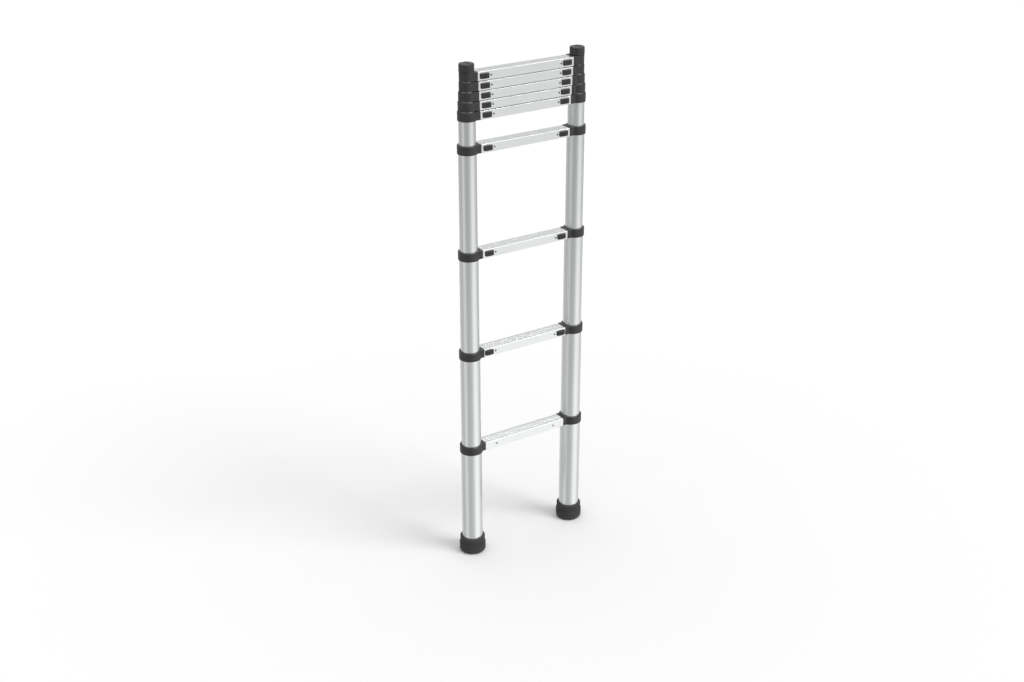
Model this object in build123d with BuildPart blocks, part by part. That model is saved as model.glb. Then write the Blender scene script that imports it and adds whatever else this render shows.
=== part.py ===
from build123d import *
import os

os.makedirs("parts", exist_ok=True)

# A telescoping ladder: nine tube sections nested in one another, each carrying a rung at its top.
# Millimetres. X runs along the rungs, the climber's side is -Y, and the feet stand on Z = 0.

# Sections
SECTIONS = 9
STILE_X = 176.0
RUNG_SPACING = 300.0
STACK_PITCH = 26.2
SECTION_5_LIFT = 64.4

# Stile tubes: the same length and wall, stepping down in diameter
TUBE_R1 = 30.4
TUBE_STEP = 1.825
TUBE_WALL = 1.4
TUBE_LENGTH = 348.0
LOCK_HOLE_R = 3.4

# Collars
COLLAR_1_Z = 335.3
COLLAR_HEIGHT = 24.0
COLLAR_RING = 3.2
TOP_COLLAR_EXTRA = 1.1
COLLAR_LIP = 2.8
BLOCK_REACH = 4.6
BLOCK_HALF_DEPTH = 20.0
SEAT_HEIGHT = STACK_PITCH - COLLAR_HEIGHT
SEAT_LENGTH = 7.0
SEAT_HALF_DEPTH = 10.0
CORNER_R = 2.0
EDGE_R = 1.0
TUBE_FIT = 0.05
SLIDE_FIT = 0.3
CUT_PAST = 1.0

# Rungs, as a hollow extrusion with a grooved tread
RUNG_DEPTH = 37.0
RUNG_HEIGHT = 24.2
RUNG_WALL = 1.6
RUNG_CORNER_R = 0.8
RUNG_INNER_R = 0.6
RUNG_MID_Z = 10.9
RUNG_END_GAP = 0.05
TREAD_GROOVES = 7
TREAD_PITCH = 3.6
TREAD_WIDTH = 0.8
TREAD_DEPTH = 0.25

# Spigots of the collars inside the rungs, all measured inwards from the outside of the collar ring
SPIGOT_END = 52.0
SPIGOT_FIT = 0.2
SPIGOT_HALF_DEPTH = RUNG_DEPTH / 2 - RUNG_WALL - SPIGOT_FIT
SPIGOT_HALF_HEIGHT = RUNG_HEIGHT / 2 - RUNG_WALL - SPIGOT_FIT
SPIGOT_CORNER_R = 1.2
CORE_START = 12.0
CORE_HALF_DEPTH = 13.0
CORE_HALF_HEIGHT = 7.2

# Thumb latches
LATCH_TRAVEL = 8.0
LATCH_2_SHIFT = 4.4
PAD_START = 12.0
PAD_END = 38.6
PAD_HALF_HEIGHT = 7.1
PAD_BACK = RUNG_DEPTH / 2 + 0.9
PAD_FRONT = PAD_BACK + 3.7
PAD_CROWN_R = 60.0
PAD_CORNER_R = 1.5
PAD_EDGE_R = 0.9
PAD_GROOVES = 5
PAD_GROOVE_PITCH = 3.9
PAD_GROOVE_WIDTH = 1.3
PAD_GROOVE_LENGTH = 9.8
PAD_GROOVE_DEPTH = 0.9
STEM_START = 14.3
STEM_END = 27.5
STEM_HALF_HEIGHT = 4.0
STEM_CORNER_R = 1.2
SLIDER_START = 12.5
SLIDER_HALF_HEIGHT = 4.6
SLIDER_FRONT = SPIGOT_HALF_DEPTH - 0.05
SLIDER_BACK = 4.5
PIN_R = 3.0
PIN_SOCKET_END = 22.5
PIN_RECESS = 0.1
PIN_BORE_R = 3.1
SLOT_FIT = 0.3
SLOT_START = STEM_START - SLOT_FIT
SLOT_END = STEM_END + LATCH_TRAVEL + SLOT_FIT
SLOT_HALF_HEIGHT = STEM_HALF_HEIGHT + SLOT_FIT
SLOT_CORNER_R = 1.5
POCKET_FIT = 0.2
POCKET_START = SLIDER_START - POCKET_FIT
POCKET_END = SLOT_END
POCKET_HALF_HEIGHT = SLIDER_HALF_HEIGHT + POCKET_FIT
POCKET_BACK = SLIDER_BACK + POCKET_FIT
SPRING_BORE_R = 3.5
SPRING_BORE_DEPTH = 9.0
SPRING_COIL_R = 2.6
SPRING_WIRE_R = 0.45
SPRING_TURNS = 6
SPRING_LENGTH = 8.9
SPRING_GAP = 0.05

# Rung screws
SCREW_AT = 45.5
LOW_SCREW_AT = 42.2
SCREW_HEAD_R = 2.7
SCREW_HEAD_HEIGHT = 0.6
SCREW_SHANK_R = 1.6
SCREW_DEPTH = 9.0
SCREW_DRIVE_R = 1.1
SCREW_DRIVE_DEPTH = 1.2

# Guide bushes in the lower ends of the sliding tubes
BUSH_FLANGE = 4.0
BUSH_PLUG = 12.0
BUSH_PROUD = 0.25
BUSH_WALL = 2.0

# Feet
FOOT_HEIGHT = 48.9
FOOT_STEP_Z = 29.0
FOOT_UPPER_R = 36.8
FOOT_LOWER_R = 38.9
FOOT_TOE_R = 9.0
FOOT_RIM_R = 1.5
FOOT_STEP_R = 1.2
SOLE_SLOTS = 4
SOLE_SLOT_PITCH = 14.0
SOLE_SLOT_WIDTH = 2.0
SOLE_SLOT_DEPTH = 1.5

# Top caps
CAP_R = 20.8
CAP_HEIGHT = 22.4
CAP_EDGE_R = 3.5
CAP_WAIST_R = 18.5
CAP_WAIST_HEIGHT = 1.2
CAP_PLUG = 20.0
CAP_PLUG_WALL = 2.4
CAP_CHANNEL_R = 5.0
CAP_CHANNEL_DEPTH = 2.2


def tube_radius(k):
    return TUBE_R1 - TUBE_STEP * (k - 1)


def ring_radius(k):
    return tube_radius(k) + COLLAR_RING


def collar_z(k):
    # Sections 1 to 4 stand fully drawn out; section 5 is part raised with 6 to 9 closed on top of it.
    if k <= 4:
        return COLLAR_1_Z + RUNG_SPACING * (k - 1)
    fifth = COLLAR_1_Z + RUNG_SPACING * 3 + STACK_PITCH + SECTION_5_LIFT
    return fifth + STACK_PITCH * (k - 5)


def tube_top(k):
    return collar_z(k) + COLLAR_HEIGHT - COLLAR_LIP


def tube_bottom(k):
    return tube_top(k) - TUBE_LENGTH


def rung_mid(k):
    return collar_z(k) + RUNG_MID_Z


def lower_lock_z(k):
    # Height of the hole that faces the lock pin of the section below once this section is drawn out
    return rung_mid(k) - RUNG_SPACING


def inboard(k, distance):
    # X of a point that far inwards from the outside of a collar ring, on the right-hand stile
    return STILE_X - ring_radius(k) - distance


def latch_x(k, distance):
    # The same for a point of a latch; the second section carries its latches nearer the stiles
    return inboard(k, distance - (LATCH_2_SHIFT if k == 2 else 0))


def screw_x(k):
    return inboard(k, LOW_SCREW_AT if k <= 2 else SCREW_AT)


def make_foot(side):
    with BuildPart() as foot:
        with BuildSketch(Plane.XY):
            with Locations((side * STILE_X, 0)):
                Circle(FOOT_LOWER_R)
        extrude(amount=FOOT_STEP_Z)
        with BuildSketch(Plane.XY.offset(FOOT_STEP_Z)):
            with Locations((side * STILE_X, 0)):
                Circle(FOOT_UPPER_R)
        extrude(amount=FOOT_HEIGHT - FOOT_STEP_Z)
        with BuildSketch(Plane.XY.offset(tube_bottom(1))):
            with Locations((side * STILE_X, 0)):
                Circle(tube_radius(1) + TUBE_FIT)
        extrude(amount=FOOT_HEIGHT, mode=Mode.SUBTRACT)
        fillet(foot.edges().group_by(Axis.Z)[0], radius=FOOT_TOE_R)
        rim = foot.edges().filter_by(GeomType.CIRCLE).group_by(Axis.Z)[-1]
        fillet(rim.sort_by(SortBy.RADIUS)[-1], radius=FOOT_RIM_R)
        circles = foot.edges().filter_by(GeomType.CIRCLE)
        step = circles.filter_by_position(Axis.Z, FOOT_STEP_Z - 0.1, FOOT_STEP_Z + 0.1)
        fillet(step.sort_by(SortBy.RADIUS)[-1], radius=FOOT_STEP_R)
        # Shallow slots across the sole
        with BuildSketch(Plane.XY):
            with Locations((side * STILE_X, 0)):
                with GridLocations(1, SOLE_SLOT_PITCH, 1, SOLE_SLOTS):
                    Rectangle(2 * FOOT_LOWER_R, SOLE_SLOT_WIDTH)
        extrude(amount=SOLE_SLOT_DEPTH, mode=Mode.SUBTRACT)
    return foot


def make_tubes(k):
    radius = tube_radius(k)
    with BuildPart() as tubes:
        with BuildSketch(Plane.XY.offset(tube_bottom(k))):
            with Locations((-STILE_X, 0)):
                Circle(radius)
                Circle(radius - TUBE_WALL, mode=Mode.SUBTRACT)
        extrude(amount=TUBE_LENGTH)
        if k > 1:
            # Hole the section's own lock pin comes through
            with BuildSketch(Plane.YZ.offset(-STILE_X)):
                with Locations((0, rung_mid(k))):
                    Circle(LOCK_HOLE_R)
            extrude(amount=ring_radius(k), mode=Mode.SUBTRACT)
        if k > 2:
            # Hole near the foot of the tube, for the lock pin of the section below
            with BuildSketch(Plane.YZ.offset(-STILE_X)):
                with Locations((0, lower_lock_z(k))):
                    Circle(LOCK_HOLE_R)
            extrude(amount=ring_radius(k), mode=Mode.SUBTRACT)
        mirror(about=Plane.YZ)
    return tubes


def make_guide_bushes(k):
    radius = tube_radius(k)
    bore = radius - TUBE_WALL
    bottom = tube_bottom(k)
    with BuildPart() as bushes:
        with BuildSketch(Plane.XY.offset(bottom - BUSH_FLANGE)):
            with Locations((-STILE_X, 0)):
                Circle(radius + BUSH_PROUD)
                Circle(bore - BUSH_WALL, mode=Mode.SUBTRACT)
        extrude(amount=BUSH_FLANGE)
        with BuildSketch(Plane.XY.offset(bottom)):
            with Locations((-STILE_X, 0)):
                Circle(bore - TUBE_FIT)
                Circle(bore - BUSH_WALL, mode=Mode.SUBTRACT)
        extrude(amount=BUSH_PLUG)
        mirror(about=Plane.YZ)
    return bushes


def make_collars(k):
    radius = tube_radius(k)
    z = collar_z(k)
    mid = rung_mid(k)
    ring = ring_radius(k) + (TOP_COLLAR_EXTRA if k == SECTIONS else 0)
    reach = ring_radius(k) + BLOCK_REACH
    top_opening = tube_radius(k + 1) + SLIDE_FIT if k < SECTIONS else radius - TUBE_WALL
    with BuildPart() as collars:
        # Ring round the tube with a block reaching to the rung
        with BuildSketch(Plane.XY.offset(z)) as outline:
            with Locations((-STILE_X, 0)):
                Circle(ring)
            with Locations((-STILE_X + reach / 2, 0)):
                Rectangle(reach, 2 * BLOCK_HALF_DEPTH)
            fillet(outline.vertices(), radius=CORNER_R)
        extrude(amount=COLLAR_HEIGHT)
        fillet(collars.edges().group_by(Axis.Z)[-1] + collars.edges().group_by(Axis.Z)[0], radius=EDGE_R)
        if k > 1:
            # Pad under the block that rests on the collar of the section below when closed
            with BuildSketch(Plane.XY.offset(z - SEAT_HEIGHT)):
                with Locations((-STILE_X + reach - SEAT_LENGTH / 2, 0)):
                    Rectangle(SEAT_LENGTH, 2 * SEAT_HALF_DEPTH)
            extrude(amount=SEAT_HEIGHT + EDGE_R)
        # Spigot that plugs into the hollow rung
        with BuildSketch(Plane.YZ.offset(-inboard(k, BLOCK_REACH - EDGE_R))):
            with Locations((0, mid)):
                RectangleRounded(2 * SPIGOT_HALF_DEPTH, 2 * SPIGOT_HALF_HEIGHT, SPIGOT_CORNER_R)
        extrude(amount=SPIGOT_END - BLOCK_REACH + EDGE_R)
        # Socket for the tube, then the guide opening for the next tube
        with BuildSketch(Plane.XY.offset(z - SEAT_HEIGHT)):
            with Locations((-STILE_X, 0)):
                Circle(radius + TUBE_FIT)
        extrude(amount=SEAT_HEIGHT + COLLAR_HEIGHT - COLLAR_LIP, mode=Mode.SUBTRACT)
        with BuildSketch(Plane.XY.offset(tube_top(k))):
            with Locations((-STILE_X, 0)):
                Circle(top_opening)
        extrude(amount=COLLAR_LIP, mode=Mode.SUBTRACT)
        if k > 1:
            # Pocket for the latch slider, open to the front, with the spring's bore behind it
            with BuildSketch(Plane.XZ.offset(-POCKET_BACK)):
                with Locations((-latch_x(k, (POCKET_START + POCKET_END) / 2), mid)):
                    Rectangle(POCKET_END - POCKET_START, 2 * POCKET_HALF_HEIGHT)
            extrude(amount=POCKET_BACK + 2 * SPIGOT_HALF_DEPTH, mode=Mode.SUBTRACT)
            with BuildSketch(Plane.YZ.offset(-latch_x(k, POCKET_END - CUT_PAST))):
                with Locations((0, mid)):
                    Circle(SPRING_BORE_R)
            extrude(amount=SPRING_BORE_DEPTH + CUT_PAST, mode=Mode.SUBTRACT)
            with BuildSketch(Plane.YZ.offset(-STILE_X)):
                with Locations((0, mid)):
                    Circle(PIN_BORE_R)
            extrude(amount=ring_radius(k) + POCKET_START + CUT_PAST, mode=Mode.SUBTRACT)
        else:
            # The fixed rung has no latches, so its spigots are plain hollow boxes
            with BuildSketch(Plane.YZ.offset(-inboard(k, CORE_START))):
                with Locations((0, mid)):
                    Rectangle(2 * CORE_HALF_DEPTH, 2 * CORE_HALF_HEIGHT)
            extrude(amount=SPIGOT_END - CORE_START, mode=Mode.SUBTRACT)
        with BuildSketch(Plane.XZ.offset(SPIGOT_HALF_DEPTH + CUT_PAST)):
            with Locations((-screw_x(k), mid)):
                Circle(SCREW_SHANK_R + TUBE_FIT)
        extrude(amount=-(SCREW_DEPTH + CUT_PAST), mode=Mode.SUBTRACT)
        mirror(about=Plane.YZ)
    return collars


def make_rung(k):
    half = inboard(k, BLOCK_REACH) - RUNG_END_GAP
    mid = rung_mid(k)
    with BuildPart() as rung:
        with BuildSketch(Plane.YZ.offset(-half)):
            with Locations((0, mid)):
                RectangleRounded(RUNG_DEPTH, RUNG_HEIGHT, RUNG_CORNER_R)
                RectangleRounded(
                    RUNG_DEPTH - 2 * RUNG_WALL,
                    RUNG_HEIGHT - 2 * RUNG_WALL,
                    RUNG_INNER_R,
                    mode=Mode.SUBTRACT,
                )
            with Locations((0, mid + RUNG_HEIGHT / 2)):
                with GridLocations(TREAD_PITCH, 1, TREAD_GROOVES, 1):
                    Rectangle(TREAD_WIDTH, 2 * TREAD_DEPTH, mode=Mode.SUBTRACT)
        extrude(amount=2 * half)
        for side in (-1, 1):
            if k > 1:
                # Slot the latch stem slides in
                with BuildSketch(Plane.XZ.offset(RUNG_DEPTH / 2 - RUNG_WALL - CUT_PAST)):
                    with Locations((side * latch_x(k, (SLOT_START + SLOT_END) / 2), mid)):
                        RectangleRounded(SLOT_END - SLOT_START, 2 * SLOT_HALF_HEIGHT, SLOT_CORNER_R)
                extrude(amount=RUNG_WALL + 2 * CUT_PAST, mode=Mode.SUBTRACT)
            with BuildSketch(Plane.XZ.offset(RUNG_DEPTH / 2 - RUNG_WALL - CUT_PAST)):
                with Locations((side * screw_x(k), mid)):
                    Circle(SCREW_SHANK_R + TUBE_FIT)
            extrude(amount=RUNG_WALL + 2 * CUT_PAST, mode=Mode.SUBTRACT)
    return rung


def make_screws(k):
    mid = rung_mid(k)
    front = RUNG_DEPTH / 2
    with BuildPart() as screws:
        with BuildSketch(Plane.XZ.offset(front)):
            with Locations((-screw_x(k), mid)):
                Circle(SCREW_HEAD_R)
        extrude(amount=SCREW_HEAD_HEIGHT)
        with BuildSketch(Plane.XZ.offset(front)):
            with Locations((-screw_x(k), mid)):
                Circle(SCREW_SHANK_R)
        extrude(amount=-SCREW_DEPTH)
        # Hexagonal drive recess
        with BuildSketch(Plane.XZ.offset(front + SCREW_HEAD_HEIGHT)):
            with Locations((-screw_x(k), mid)):
                RegularPolygon(SCREW_DRIVE_R, 6)
        extrude(amount=-SCREW_DRIVE_DEPTH, mode=Mode.SUBTRACT)
        mirror(about=Plane.YZ)
    return screws


def make_latch(k, side):
    mid = rung_mid(k)
    tip = STILE_X - tube_radius(k) + TUBE_WALL - PIN_RECESS
    seat = latch_x(k, PIN_SOCKET_END)
    spring_start = latch_x(k, STEM_END + SPRING_GAP + SPRING_WIRE_R)
    with BuildPart() as latch:
        # Thumb pad on the front of the rung, ribbed for grip
        with BuildSketch(Plane.XZ.offset(PAD_BACK)):
            with Locations((side * latch_x(k, (PAD_START + PAD_END) / 2), mid)):
                RectangleRounded(PAD_END - PAD_START, 2 * PAD_HALF_HEIGHT, PAD_CORNER_R)
        extrude(amount=PAD_FRONT - PAD_BACK)
        with BuildSketch(Plane.XY.offset(mid - PAD_HALF_HEIGHT)):
            with Locations((side * latch_x(k, (PAD_START + PAD_END) / 2), PAD_CROWN_R - PAD_FRONT)):
                Circle(PAD_CROWN_R)
        extrude(amount=2 * PAD_HALF_HEIGHT, mode=Mode.INTERSECT)
        fillet(latch.faces().sort_by(Axis.Y)[0].edges(), radius=PAD_EDGE_R)
        with BuildSketch(Plane.XZ.offset(PAD_FRONT)):
            with Locations((side * latch_x(k, (PAD_START + PAD_END) / 2), mid)):
                with GridLocations(PAD_GROOVE_PITCH, 1, PAD_GROOVES, 1):
                    Rectangle(PAD_GROOVE_WIDTH, PAD_GROOVE_LENGTH)
        extrude(amount=-PAD_GROOVE_DEPTH, mode=Mode.SUBTRACT)
        # Stem through the slot and the slider behind it
        with BuildSketch(Plane.XZ.offset(SLIDER_FRONT)):
            with Locations((side * latch_x(k, (STEM_START + STEM_END) / 2), mid)):
                RectangleRounded(STEM_END - STEM_START, 2 * STEM_HALF_HEIGHT, STEM_CORNER_R)
        extrude(amount=PAD_BACK - SLIDER_FRONT)
        with BuildSketch(Plane.XZ.offset(-SLIDER_BACK)):
            with Locations((side * latch_x(k, (SLIDER_START + STEM_END) / 2), mid)):
                Rectangle(STEM_END - SLIDER_START, 2 * SLIDER_HALF_HEIGHT)
        extrude(amount=SLIDER_BACK + SLIDER_FRONT)
        with BuildSketch(Plane.YZ.offset(side * latch_x(k, SLIDER_START))):
            with Locations((0, mid)):
                Circle(PIN_R + TUBE_FIT)
        extrude(amount=-side * (PIN_SOCKET_END - SLIDER_START), mode=Mode.SUBTRACT)
    with BuildPart() as pin:
        with BuildSketch(Plane.YZ.offset(side * tip)):
            with Locations((0, mid)):
                Circle(PIN_R)
        extrude(amount=-side * (tip - seat))
    with BuildPart() as spring:
        with BuildLine():
            coil = Helix(
                pitch=SPRING_LENGTH / SPRING_TURNS,
                height=SPRING_LENGTH - 2 * SPRING_WIRE_R,
                radius=SPRING_COIL_R,
                center=(side * spring_start, 0, mid),
                direction=(-side, 0, 0),
            )
        with BuildSketch(Plane(origin=coil @ 0, z_dir=coil % 0)):
            Circle(SPRING_WIRE_R)
        sweep(path=coil, is_frenet=True)
    return Compound(children=[latch.part, pin.part, spring.part])


def make_cap(side):
    base = collar_z(SECTIONS) + COLLAR_HEIGHT
    top = base + CAP_HEIGHT
    plug_r = tube_radius(SECTIONS) - TUBE_WALL - TUBE_FIT
    with BuildPart() as cap:
        with BuildSketch(Plane.XY.offset(base + CAP_WAIST_HEIGHT)):
            with Locations((side * STILE_X, 0)):
                Circle(CAP_R)
        extrude(amount=CAP_HEIGHT - CAP_WAIST_HEIGHT)
        fillet(cap.edges().group_by(Axis.Z)[-1], radius=CAP_EDGE_R)
        with BuildSketch(Plane.XY.offset(base)):
            with Locations((side * STILE_X, 0)):
                Circle(CAP_WAIST_R)
        extrude(amount=CAP_WAIST_HEIGHT)
        with BuildSketch(Plane.XY.offset(base)):
            with Locations((side * STILE_X, 0)):
                Circle(plug_r)
                Circle(plug_r - CAP_PLUG_WALL, mode=Mode.SUBTRACT)
        extrude(amount=-CAP_PLUG)
        # Shallow channel running front to back across the crown
        with BuildSketch(Plane.XZ.offset(-CAP_R - CUT_PAST)):
            with Locations((side * STILE_X, top + CAP_CHANNEL_R - CAP_CHANNEL_DEPTH)):
                Circle(CAP_CHANNEL_R)
        extrude(amount=2 * (CAP_R + CUT_PAST), mode=Mode.SUBTRACT)
    return cap


def save(shape, label):
    shape.label = label
    export_step(shape, f"parts/{label}.step")


for side, name in ((-1, "left"), (1, "right")):
    save(make_foot(side).part, f"foot_{name}")
    save(make_cap(side).part, f"top_cap_{name}")
for k in range(1, SECTIONS + 1):
    save(make_tubes(k).part, f"tubes_{k}")
    save(make_rung(k).part, f"rung_{k}")
    save(make_screws(k).part, f"screws_{k}")
    if k == 1:
        save(make_collars(k).part, f"collars_{k}")
    else:
        # The guide bushes at the lower ends of the tubes go with the collars at their upper ends
        save(Compound(children=[make_collars(k).part, make_guide_bushes(k).part]), f"collars_{k}")
        save(make_latch(k, -1), f"latch_left_{k}")
        save(make_latch(k, 1), f"latch_right_{k}")
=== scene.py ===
import bpy
import math
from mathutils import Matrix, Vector

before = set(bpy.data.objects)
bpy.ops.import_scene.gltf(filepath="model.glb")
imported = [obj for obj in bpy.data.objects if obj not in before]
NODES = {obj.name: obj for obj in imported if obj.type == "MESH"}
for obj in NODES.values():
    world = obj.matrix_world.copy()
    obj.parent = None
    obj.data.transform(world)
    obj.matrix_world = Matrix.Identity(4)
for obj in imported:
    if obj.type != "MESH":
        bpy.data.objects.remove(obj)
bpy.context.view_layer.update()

SECTIONS = 9
X_AXIS = 0
Z_AXIS = 2


# ---------------------------------------------------------------- settings

# Camera: standing height, looking down across the front from the left
CAMERA_AT = (-2.054, -3.087, 2.347)
CAMERA_DOWN_DEG = 24.68
CAMERA_YAW_DEG = 33.19
CAMERA_LENS_MM = 49.65
CAMERA_SENSOR_MM = 36.0
CAMERA_REACH = 100.0

# Most of a noise texture lies between these two values
NOISE_LOW = 0.3
NOISE_HIGH = 0.7

# Edge wear and painted edge highlight: full where the rounded and true normals agree this little, none
# where they agree this much
EDGE_FULL = 0.80
EDGE_NONE = 0.97
EDGE_SAMPLES = 6
EDGE_BREAKS = 130.0
EDGE_FAINTEST = 0.2

# Below here, noise frequencies are per metre, and widths and bump depths are in metres

METAL_LINES = 2600.0
METAL_LINES_ALONG = 5.0
METAL_LINES_DEPTH = 0.00002
METAL_LINES_STRENGTH = 0.35
METAL_BANDS = 260.0
METAL_BANDS_ALONG = 1.5
METAL_BANDS_DEPTH = 0.00004
METAL_BANDS_STRENGTH = 0.2
METAL_CLOUD = (14.0, 14.0, 9.0)
METAL_CLOUD_LOWEST = 0.6
METAL_LINES_LOWEST = 0.5
METAL_DARKER = 0.90
# Metal edges painted lighter: partly wear, partly a painted highlight along the rounded edges
METAL_EDGE_WIDTH = 0.0005
METAL_EDGE_STRENGTH = 0.8
METAL_EDGE_WEAR_AND_HIGHLIGHT = 1.12
METAL_SMOOTHER = 0.03
METAL_ROUGHER = 0.04

PLASTIC_SPECULAR = 0.45
PLASTIC_GRAIN = 2400.0
PLASTIC_GRAIN_ROUGHNESS = 0.6
PLASTIC_GRAIN_DEPTH = 0.00005
PLASTIC_GRAIN_STRENGTH = 0.7
PLASTIC_FLOW = 60.0
PLASTIC_LIGHTER = 1.25
# Plastic edges painted lighter: partly wear, partly a painted highlight along the rounded edges
PLASTIC_EDGE_WIDTH = 0.0009
PLASTIC_EDGE_STRENGTH = 0.7
PLASTIC_EDGE_WEAR_AND_HIGHLIGHT = 2.6
PLASTIC_ROUGH_SPREAD = 0.06

RUBBER_ROUGHNESS = 0.72
RUBBER_SPECULAR = 0.35
RUBBER_GRAIN = 1500.0
RUBBER_GRAIN_ROUGHNESS = 0.65
RUBBER_GRAIN_DEPTH = 0.00008
RUBBER_GRAIN_STRENGTH = 0.5
RUBBER_PATCHES = 45.0
# Rubber edges painted lighter: partly wear, partly a painted highlight along the rounded edges
RUBBER_EDGE_WIDTH = 0.0012
RUBBER_EDGE_STRENGTH = 0.6
RUBBER_EDGE_WEAR_AND_HIGHLIGHT = 2.2
DUST_TOP = 0.02
DUST_MOST = 0.6
DUST_COLOR_ADDED = 0.03

STEEL_SPOTS = 900.0
STEEL_ROUGH_SPREAD = 0.08

# Sun lamp: angle round the ladder from +X, height above the horizon and spread, all in degrees
KEY_AZIMUTH = -55.0
KEY_HEIGHT = 46.0
KEY_SPREAD = 28.0
KEY_STRENGTH = 1.85
# Upright light strips: angle from +X and half width in degrees, strength at the middle
STRIPS = (
    (-98.0, 30.0, 0.05),
    (-61.0, 36.0, 0.42),
    (-12.0, 42.0, 0.24),
    (62.0, 55.0, 0.22),
    (115.0, 40.0, 0.17),
    (180.0, 26.0, 0.37),
)
# Round patches: angle from +X, height above the horizon and half width in degrees, strength at the
# middle, which is below 0 for a shaded patch
PATCHES = (
    (-62.0, -50.0, 45.0, 0.30),
    (90.0, -80.0, 70.0, -0.34),
)
# Light of the surround by the height looked at: 0 is straight down, 0.5 the horizon, 1 straight up
SURROUND = (
    (0.00, 0.70),
    (0.20, 0.63),
    (0.26, 0.69),
    (0.36, 0.40),
    (0.42, 0.37),
    (0.50, 0.40),
    (0.62, 0.60),
    (0.70, 0.56),
    (0.80, 0.48),
    (0.89, 0.46),
    (0.96, 2.10),
    (1.00, 2.50),
)
# Level of the backdrop that the camera sees past the floor
BACKDROP = 1.0

# Floor colour under the ladder, darker there as painted shade, and further off, with the distance in
# metres where it is all FLOOR_FAR
FLOOR_NEAR_SHADED = (0.600, 0.600, 0.600)
FLOOR_FAR = (0.635, 0.635, 0.635)
FLOOR_REACH = 2.2
FLOOR_ROUGHNESS = 0.95
FLOOR_HALF = 60.0


# ---------------------------------------------------------------- node trees

def alike(value):
    """The same value along all three axes."""
    return (value, value, value)


def scaled(color, factor):
    """The colour, brighter or darker by a factor."""
    return tuple(factor * part for part in color)


class Tree:
    """A node tree with a few helpers to build it."""

    def __init__(self, tree):
        self.tree = tree

    def node(self, kind, **settings):
        made = self.tree.nodes.new(kind)
        for key, value in settings.items():
            setattr(made, key, value)
        return made

    def link(self, source, target):
        self.tree.links.new(source, target)

    def combine(self, operation, first, second):
        """Two values, each a socket or a number, through a Math node."""
        made = self.node("ShaderNodeMath", operation=operation)
        for socket, value in zip(made.inputs, (first, second)):
            if isinstance(value, bpy.types.NodeSocket):
                self.link(value, socket)
            else:
                socket.default_value = value
        return made.outputs["Value"]

    def remap(self, value, low, high, from_low=NOISE_LOW, from_high=NOISE_HIGH, curve="LINEAR"):
        """The value, clamped to from_low and from_high, carried over to low and high."""
        made = self.node("ShaderNodeMapRange", interpolation_type=curve)
        made.inputs["From Min"].default_value = from_low
        made.inputs["From Max"].default_value = from_high
        made.inputs["To Min"].default_value = low
        made.inputs["To Max"].default_value = high
        self.link(value, made.inputs["Value"])
        return made.outputs["Result"]


class Shader(Tree):
    """A Principled material and the textures it is made with."""

    def __init__(self, name, color, metallic=0.0, roughness=0.5, specular=0.5):
        self.material = bpy.data.materials.new(name)
        self.material.use_nodes = True
        super().__init__(self.material.node_tree)
        self.shader = self.tree.nodes["Principled BSDF"]
        self.shader.inputs["Base Color"].default_value = (*color, 1)
        self.shader.inputs["Metallic"].default_value = metallic
        self.shader.inputs["Roughness"].default_value = roughness
        self.shader.inputs["Specular IOR Level"].default_value = specular
        self.material.diffuse_color = (*color, 1)

    def feed(self, socket, value):
        """Links the value to a named socket of the Principled shader."""
        self.link(value, self.shader.inputs[socket])

    def place(self):
        """Object coordinates, in metres."""
        return self.node("ShaderNodeTexCoord").outputs["Object"]

    def noise(self, frequencies, detail=2.0, roughness=0.5):
        """Noise with a frequency per metre along each axis."""
        mapping = self.node("ShaderNodeMapping")
        mapping.inputs["Scale"].default_value = frequencies
        self.link(self.place(), mapping.inputs["Vector"])
        made = self.node("ShaderNodeTexNoise")
        made.inputs["Scale"].default_value = 1.0
        made.inputs["Detail"].default_value = detail
        made.inputs["Roughness"].default_value = roughness
        self.link(mapping.outputs["Vector"], made.inputs["Vector"])
        return made.outputs["Fac"]

    def mix_color(self, factor, first, second):
        """From the first colour to the second, each a socket or three numbers."""
        made = self.node("ShaderNodeMix", data_type="RGBA")
        sockets = [s for s in made.inputs if s.type == "RGBA"]
        for socket, value in zip(sockets, (first, second)):
            if isinstance(value, bpy.types.NodeSocket):
                self.link(value, socket)
            else:
                socket.default_value = (*value, 1)
        self.link(factor, made.inputs["Factor"])
        return [s for s in made.outputs if s.type == "RGBA"][0]

    def bump(self, height, depth, strength, after=None):
        """Normal of a surface with this relief, on top of the relief given as after."""
        made = self.node("ShaderNodeBump")
        made.inputs["Distance"].default_value = depth
        made.inputs["Strength"].default_value = strength
        self.link(height, made.inputs["Height"])
        if after is not None:
            self.link(after, made.inputs["Normal"])
        return made.outputs["Normal"]

    def edges(self, width, strength):
        """Broken mask of the edges and corners, for wear and a painted highlight: up to strength on
        one, 0 at the width away from it.
        """
        rounded = self.node("ShaderNodeBevel", samples=EDGE_SAMPLES)
        rounded.inputs["Radius"].default_value = width
        flat = self.node("ShaderNodeNewGeometry")
        agree = self.node("ShaderNodeVectorMath", operation="DOT_PRODUCT")
        self.link(rounded.outputs["Normal"], agree.inputs[0])
        self.link(flat.outputs["Normal"], agree.inputs[1])
        wear_and_highlight = self.remap(agree.outputs["Value"], strength, 0.0, EDGE_FULL, EDGE_NONE)
        breaks = self.remap(self.noise(alike(EDGE_BREAKS), detail=4.0), EDGE_FAINTEST, 1.0)
        return self.combine("MULTIPLY", wear_and_highlight, breaks)


# ---------------------------------------------------------------- materials

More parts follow.
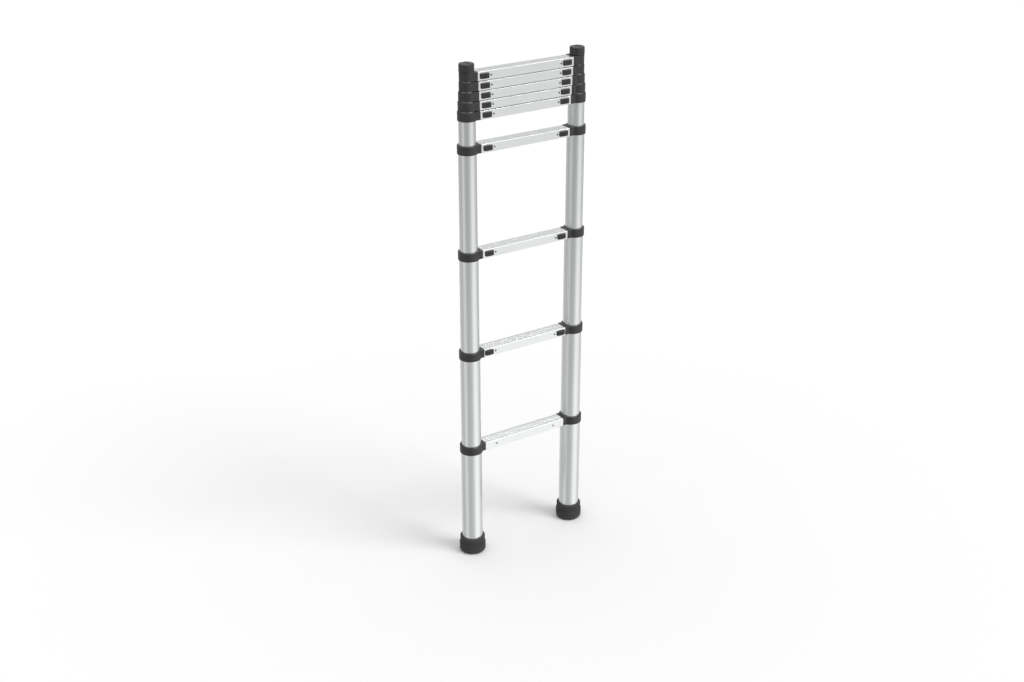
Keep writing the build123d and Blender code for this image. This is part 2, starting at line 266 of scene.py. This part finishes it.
def brushed_aluminium(name, along, color, roughness):
    """Clear-anodised extruded aluminium: fine die lines along the axis given and a faint cloudiness."""
    made = Shader(name, color, metallic=1.0, roughness=roughness)
    fine = list(alike(METAL_LINES))
    fine[along] = METAL_LINES_ALONG
    broad = list(alike(METAL_BANDS))
    broad[along] = METAL_BANDS_ALONG
    lines = made.noise(fine, detail=2.0)
    bands = made.noise(broad, detail=1.0)
    cloud = made.noise(METAL_CLOUD, detail=3.0)
    cloudy = made.remap(cloud, METAL_CLOUD_LOWEST, 1.0)
    lined = made.remap(lines, METAL_LINES_LOWEST, 1.0)
    shade = made.combine("MULTIPLY", cloudy, lined)
    tone = made.mix_color(shade, scaled(color, METAL_DARKER), color)
    # Edges painted lighter: partly wear, partly a painted highlight
    wear_and_highlight = made.edges(METAL_EDGE_WIDTH, METAL_EDGE_STRENGTH)
    made.feed("Base Color", made.mix_color(wear_and_highlight, tone, scaled(color, METAL_EDGE_WEAR_AND_HIGHLIGHT)))
    made.feed("Roughness", made.remap(bands, roughness - METAL_SMOOTHER, roughness + METAL_ROUGHER))
    broad_relief = made.bump(bands, METAL_BANDS_DEPTH, METAL_BANDS_STRENGTH)
    made.feed("Normal", made.bump(lines, METAL_LINES_DEPTH, METAL_LINES_STRENGTH, broad_relief))
    return made.material


def moulded_plastic(name, color, roughness):
    """Black glass-filled plastic with a fine spark-eroded grain."""
    made = Shader(name, color, roughness=roughness, specular=PLASTIC_SPECULAR)
    grain = made.noise(alike(PLASTIC_GRAIN), detail=2.0, roughness=PLASTIC_GRAIN_ROUGHNESS)
    flow = made.noise(alike(PLASTIC_FLOW), detail=3.0)
    tone = made.mix_color(made.remap(flow, 0.0, 1.0), color, scaled(color, PLASTIC_LIGHTER))
    # Edges painted lighter: partly wear, partly a painted highlight
    wear_and_highlight = made.edges(PLASTIC_EDGE_WIDTH, PLASTIC_EDGE_STRENGTH)
    made.feed("Base Color", made.mix_color(wear_and_highlight, tone, scaled(color, PLASTIC_EDGE_WEAR_AND_HIGHLIGHT)))
    smoothest = roughness - PLASTIC_ROUGH_SPREAD
    roughest = roughness + PLASTIC_ROUGH_SPREAD
    made.feed("Roughness", made.remap(flow, smoothest, roughest))
    made.feed("Normal", made.bump(grain, PLASTIC_GRAIN_DEPTH, PLASTIC_GRAIN_STRENGTH))
    return made.material


def moulded_rubber(name, color):
    """Matte rubber, a little dusty towards the floor."""
    made = Shader(name, color, roughness=RUBBER_ROUGHNESS, specular=RUBBER_SPECULAR)
    grain = made.noise(alike(RUBBER_GRAIN), detail=3.0, roughness=RUBBER_GRAIN_ROUGHNESS)
    patches = made.noise(alike(RUBBER_PATCHES), detail=4.0)
    split = made.node("ShaderNodeSeparateXYZ")
    made.link(made.place(), split.inputs["Vector"])
    low = made.remap(split.outputs["Z"], 1.0, 0.0, 0.0, DUST_TOP)
    dust = made.combine("MULTIPLY", low, made.remap(patches, 0.0, DUST_MOST))
    dusty = tuple(part + DUST_COLOR_ADDED for part in color)
    tone = made.mix_color(dust, color, dusty)
    # Edges painted lighter: partly wear, partly a painted highlight
    wear_and_highlight = made.edges(RUBBER_EDGE_WIDTH, RUBBER_EDGE_STRENGTH)
    made.feed("Base Color", made.mix_color(wear_and_highlight, tone, scaled(color, RUBBER_EDGE_WEAR_AND_HIGHLIGHT)))
    made.feed("Normal", made.bump(grain, RUBBER_GRAIN_DEPTH, RUBBER_GRAIN_STRENGTH))
    return made.material


def plated_steel(name, color, roughness):
    """Dark zinc-plated steel with an uneven sheen."""
    made = Shader(name, color, metallic=1.0, roughness=roughness)
    spots = made.noise(alike(STEEL_SPOTS), detail=3.0)
    smoothest = roughness - STEEL_ROUGH_SPREAD
    roughest = roughness + STEEL_ROUGH_SPREAD
    made.feed("Roughness", made.remap(spots, smoothest, roughest))
    return made.material


TUBE = brushed_aluminium("tube_aluminium", Z_AXIS, (0.745, 0.760, 0.758), 0.30)
RUNG = brushed_aluminium("rung_aluminium", X_AXIS, (0.737, 0.751, 0.749), 0.28)
PLASTIC = moulded_plastic("collar_plastic", (0.0175, 0.0175, 0.018), 0.42)
CAP_PLASTIC = moulded_plastic("cap_plastic", (0.018, 0.018, 0.0185), 0.40)
PAD_PLASTIC = moulded_plastic("latch_plastic", (0.016, 0.016, 0.0165), 0.50)
RUBBER = moulded_rubber("foot_rubber", (0.030, 0.030, 0.0305))
DARK_STEEL = plated_steel("screw_steel", (0.20, 0.20, 0.21), 0.40)


def paint(node, material):
    """Gives a CAD node one material on every face."""
    slots = NODES[node].data.materials
    slots.clear()
    slots.append(material)


def paint_ladder():
    """Gives every CAD node its material. The lowest section has no latches."""
    for side in ("left", "right"):
        paint(f"foot_{side}", RUBBER)
        paint(f"top_cap_{side}", CAP_PLASTIC)
    for k in range(1, SECTIONS + 1):
        paint(f"tubes_{k}", TUBE)
        paint(f"rung_{k}", RUNG)
        paint(f"collars_{k}", PLASTIC)
        paint(f"screws_{k}", DARK_STEEL)
    for k in range(2, SECTIONS + 1):
        paint(f"latch_left_{k}", PAD_PLASTIC)
        paint(f"latch_right_{k}", PAD_PLASTIC)


# ---------------------------------------------------------------- studio

def make_camera():
    data = bpy.data.cameras.new("camera")
    data.sensor_width = CAMERA_SENSOR_MM
    data.lens = CAMERA_LENS_MM
    data.clip_end = CAMERA_REACH
    camera = bpy.data.objects.new("camera", data)
    camera.location = CAMERA_AT
    camera.rotation_euler = (math.radians(90 - CAMERA_DOWN_DEG), 0, math.radians(-CAMERA_YAW_DEG))
    bpy.context.scene.collection.objects.link(camera)
    bpy.context.scene.camera = camera


def make_floor():
    """A wide matte floor that reflections leave out and that lets the light from below through."""
    mesh = bpy.data.meshes.new("floor")
    signs = ((-1, -1), (1, -1), (1, 1), (-1, 1))
    corners = [(FLOOR_HALF * x, FLOOR_HALF * y, 0) for x, y in signs]
    mesh.from_pydata(corners, [], [(0, 1, 2, 3)])
    floor = bpy.data.objects.new("floor", mesh)
    bpy.context.scene.collection.objects.link(floor)
    made = Shader("floor_painted_shade", FLOOR_NEAR_SHADED, roughness=FLOOR_ROUGHNESS, specular=0.0)
    apart = made.node("ShaderNodeVectorMath", operation="LENGTH")
    made.link(made.place(), apart.inputs[0])
    # Painted shade: the floor is darker near the ladder and fades out to FLOOR_FAR by FLOOR_REACH
    far = made.remap(apart.outputs["Value"], 0.0, 1.0, 0.0, FLOOR_REACH)
    made.feed("Base Color", made.mix_color(far, FLOOR_NEAR_SHADED, FLOOR_FAR))
    mesh.materials.append(made.material)
    floor.visible_glossy = False
    floor.visible_shadow = False


def toward(azimuth, rise):
    """Unit vector at these angles, in degrees, round from +X and above the horizon."""
    turn = math.radians(azimuth)
    lift = math.radians(rise)
    return Vector((math.cos(turn) * math.cos(lift), math.sin(turn) * math.cos(lift), math.sin(lift)))


def make_key_light():
    """A broad sun, so that the ladder's shadow on the floor stays soft."""
    data = bpy.data.lights.new("key", "SUN")
    data.energy = KEY_STRENGTH
    data.angle = math.radians(KEY_SPREAD)
    light = bpy.data.objects.new("key", data)
    light.rotation_euler = toward(KEY_AZIMUTH, KEY_HEIGHT).to_track_quat("Z", "Y").to_euler()
    bpy.context.scene.collection.objects.link(light)


def light_by_height(made, looked):
    """Light of the surround at the height of the direction looked in."""
    split = made.node("ShaderNodeSeparateXYZ")
    made.link(looked, split.inputs["Vector"])
    ramp = made.node("ShaderNodeValToRGB")
    ramp.color_ramp.interpolation = "EASE"
    while len(ramp.color_ramp.elements) < len(SURROUND):
        ramp.color_ramp.elements.new(0.5)
    brightest = max(level for _, level in SURROUND)
    for stop, (at, level) in zip(ramp.color_ramp.elements, SURROUND):
        stop.position = at
        stop.color = (*alike(level / brightest), 1)
    made.link(made.remap(split.outputs["Z"], 0.0, 1.0, -1.0, 1.0), ramp.inputs["Fac"])
    return made.combine("MULTIPLY", ramp.outputs["Color"], brightest)


def without_height(made, looked):
    """The direction looked in, brought down to the horizon."""
    flat = made.node("ShaderNodeVectorMath", operation="MULTIPLY")
    flat.inputs[1].default_value = (1, 1, 0)
    made.link(looked, flat.inputs[0])
    level = made.node("ShaderNodeVectorMath", operation="NORMALIZE")
    made.link(flat.outputs["Vector"], level.inputs[0])
    return level.outputs["Vector"]


def glow(made, direction, azimuth, rise, half, strength):
    """Light that falls off smoothly to nothing at half degrees from its middle."""
    facing = made.node("ShaderNodeVectorMath", operation="DOT_PRODUCT")
    facing.inputs[1].default_value = toward(azimuth, rise)
    made.link(direction, facing.inputs[0])
    outer = math.cos(math.radians(half))
    return made.remap(facing.outputs["Value"], 0.0, strength, outer, 1.0, "SMOOTHSTEP")


def make_world():
    """A soft surround with strips and patches of light, and a plain backdrop for the camera."""
    world = bpy.data.worlds.new("studio")
    bpy.context.scene.world = world
    world.use_nodes = True
    made = Tree(world.node_tree)
    looked = made.node("ShaderNodeTexCoord").outputs["Generated"]
    level = without_height(made, looked)
    total = light_by_height(made, looked)
    for azimuth, half, strength in STRIPS:
        total = made.combine("ADD", total, glow(made, level, azimuth, 0.0, half, strength))
    for azimuth, rise, half, strength in PATCHES:
        total = made.combine("ADD", total, glow(made, looked, azimuth, rise, half, strength))

    path = made.node("ShaderNodeLightPath")
    seen = made.node("ShaderNodeMix")
    seen.inputs["B"].default_value = BACKDROP
    made.link(path.outputs["Is Camera Ray"], seen.inputs["Factor"])
    made.link(total, seen.inputs["A"])
    background = made.tree.nodes["Background"]
    background.inputs["Color"].default_value = (1, 1, 1, 1)
    made.link(seen.outputs["Result"], background.inputs["Strength"])


paint_ladder()
make_camera()
make_floor()
make_world()
make_key_light()

scene = bpy.context.scene
scene.view_settings.view_transform = "Standard"
scene.view_settings.look = "None"
scene.view_settings.exposure = 0.0
scene.view_settings.gamma = 1.0
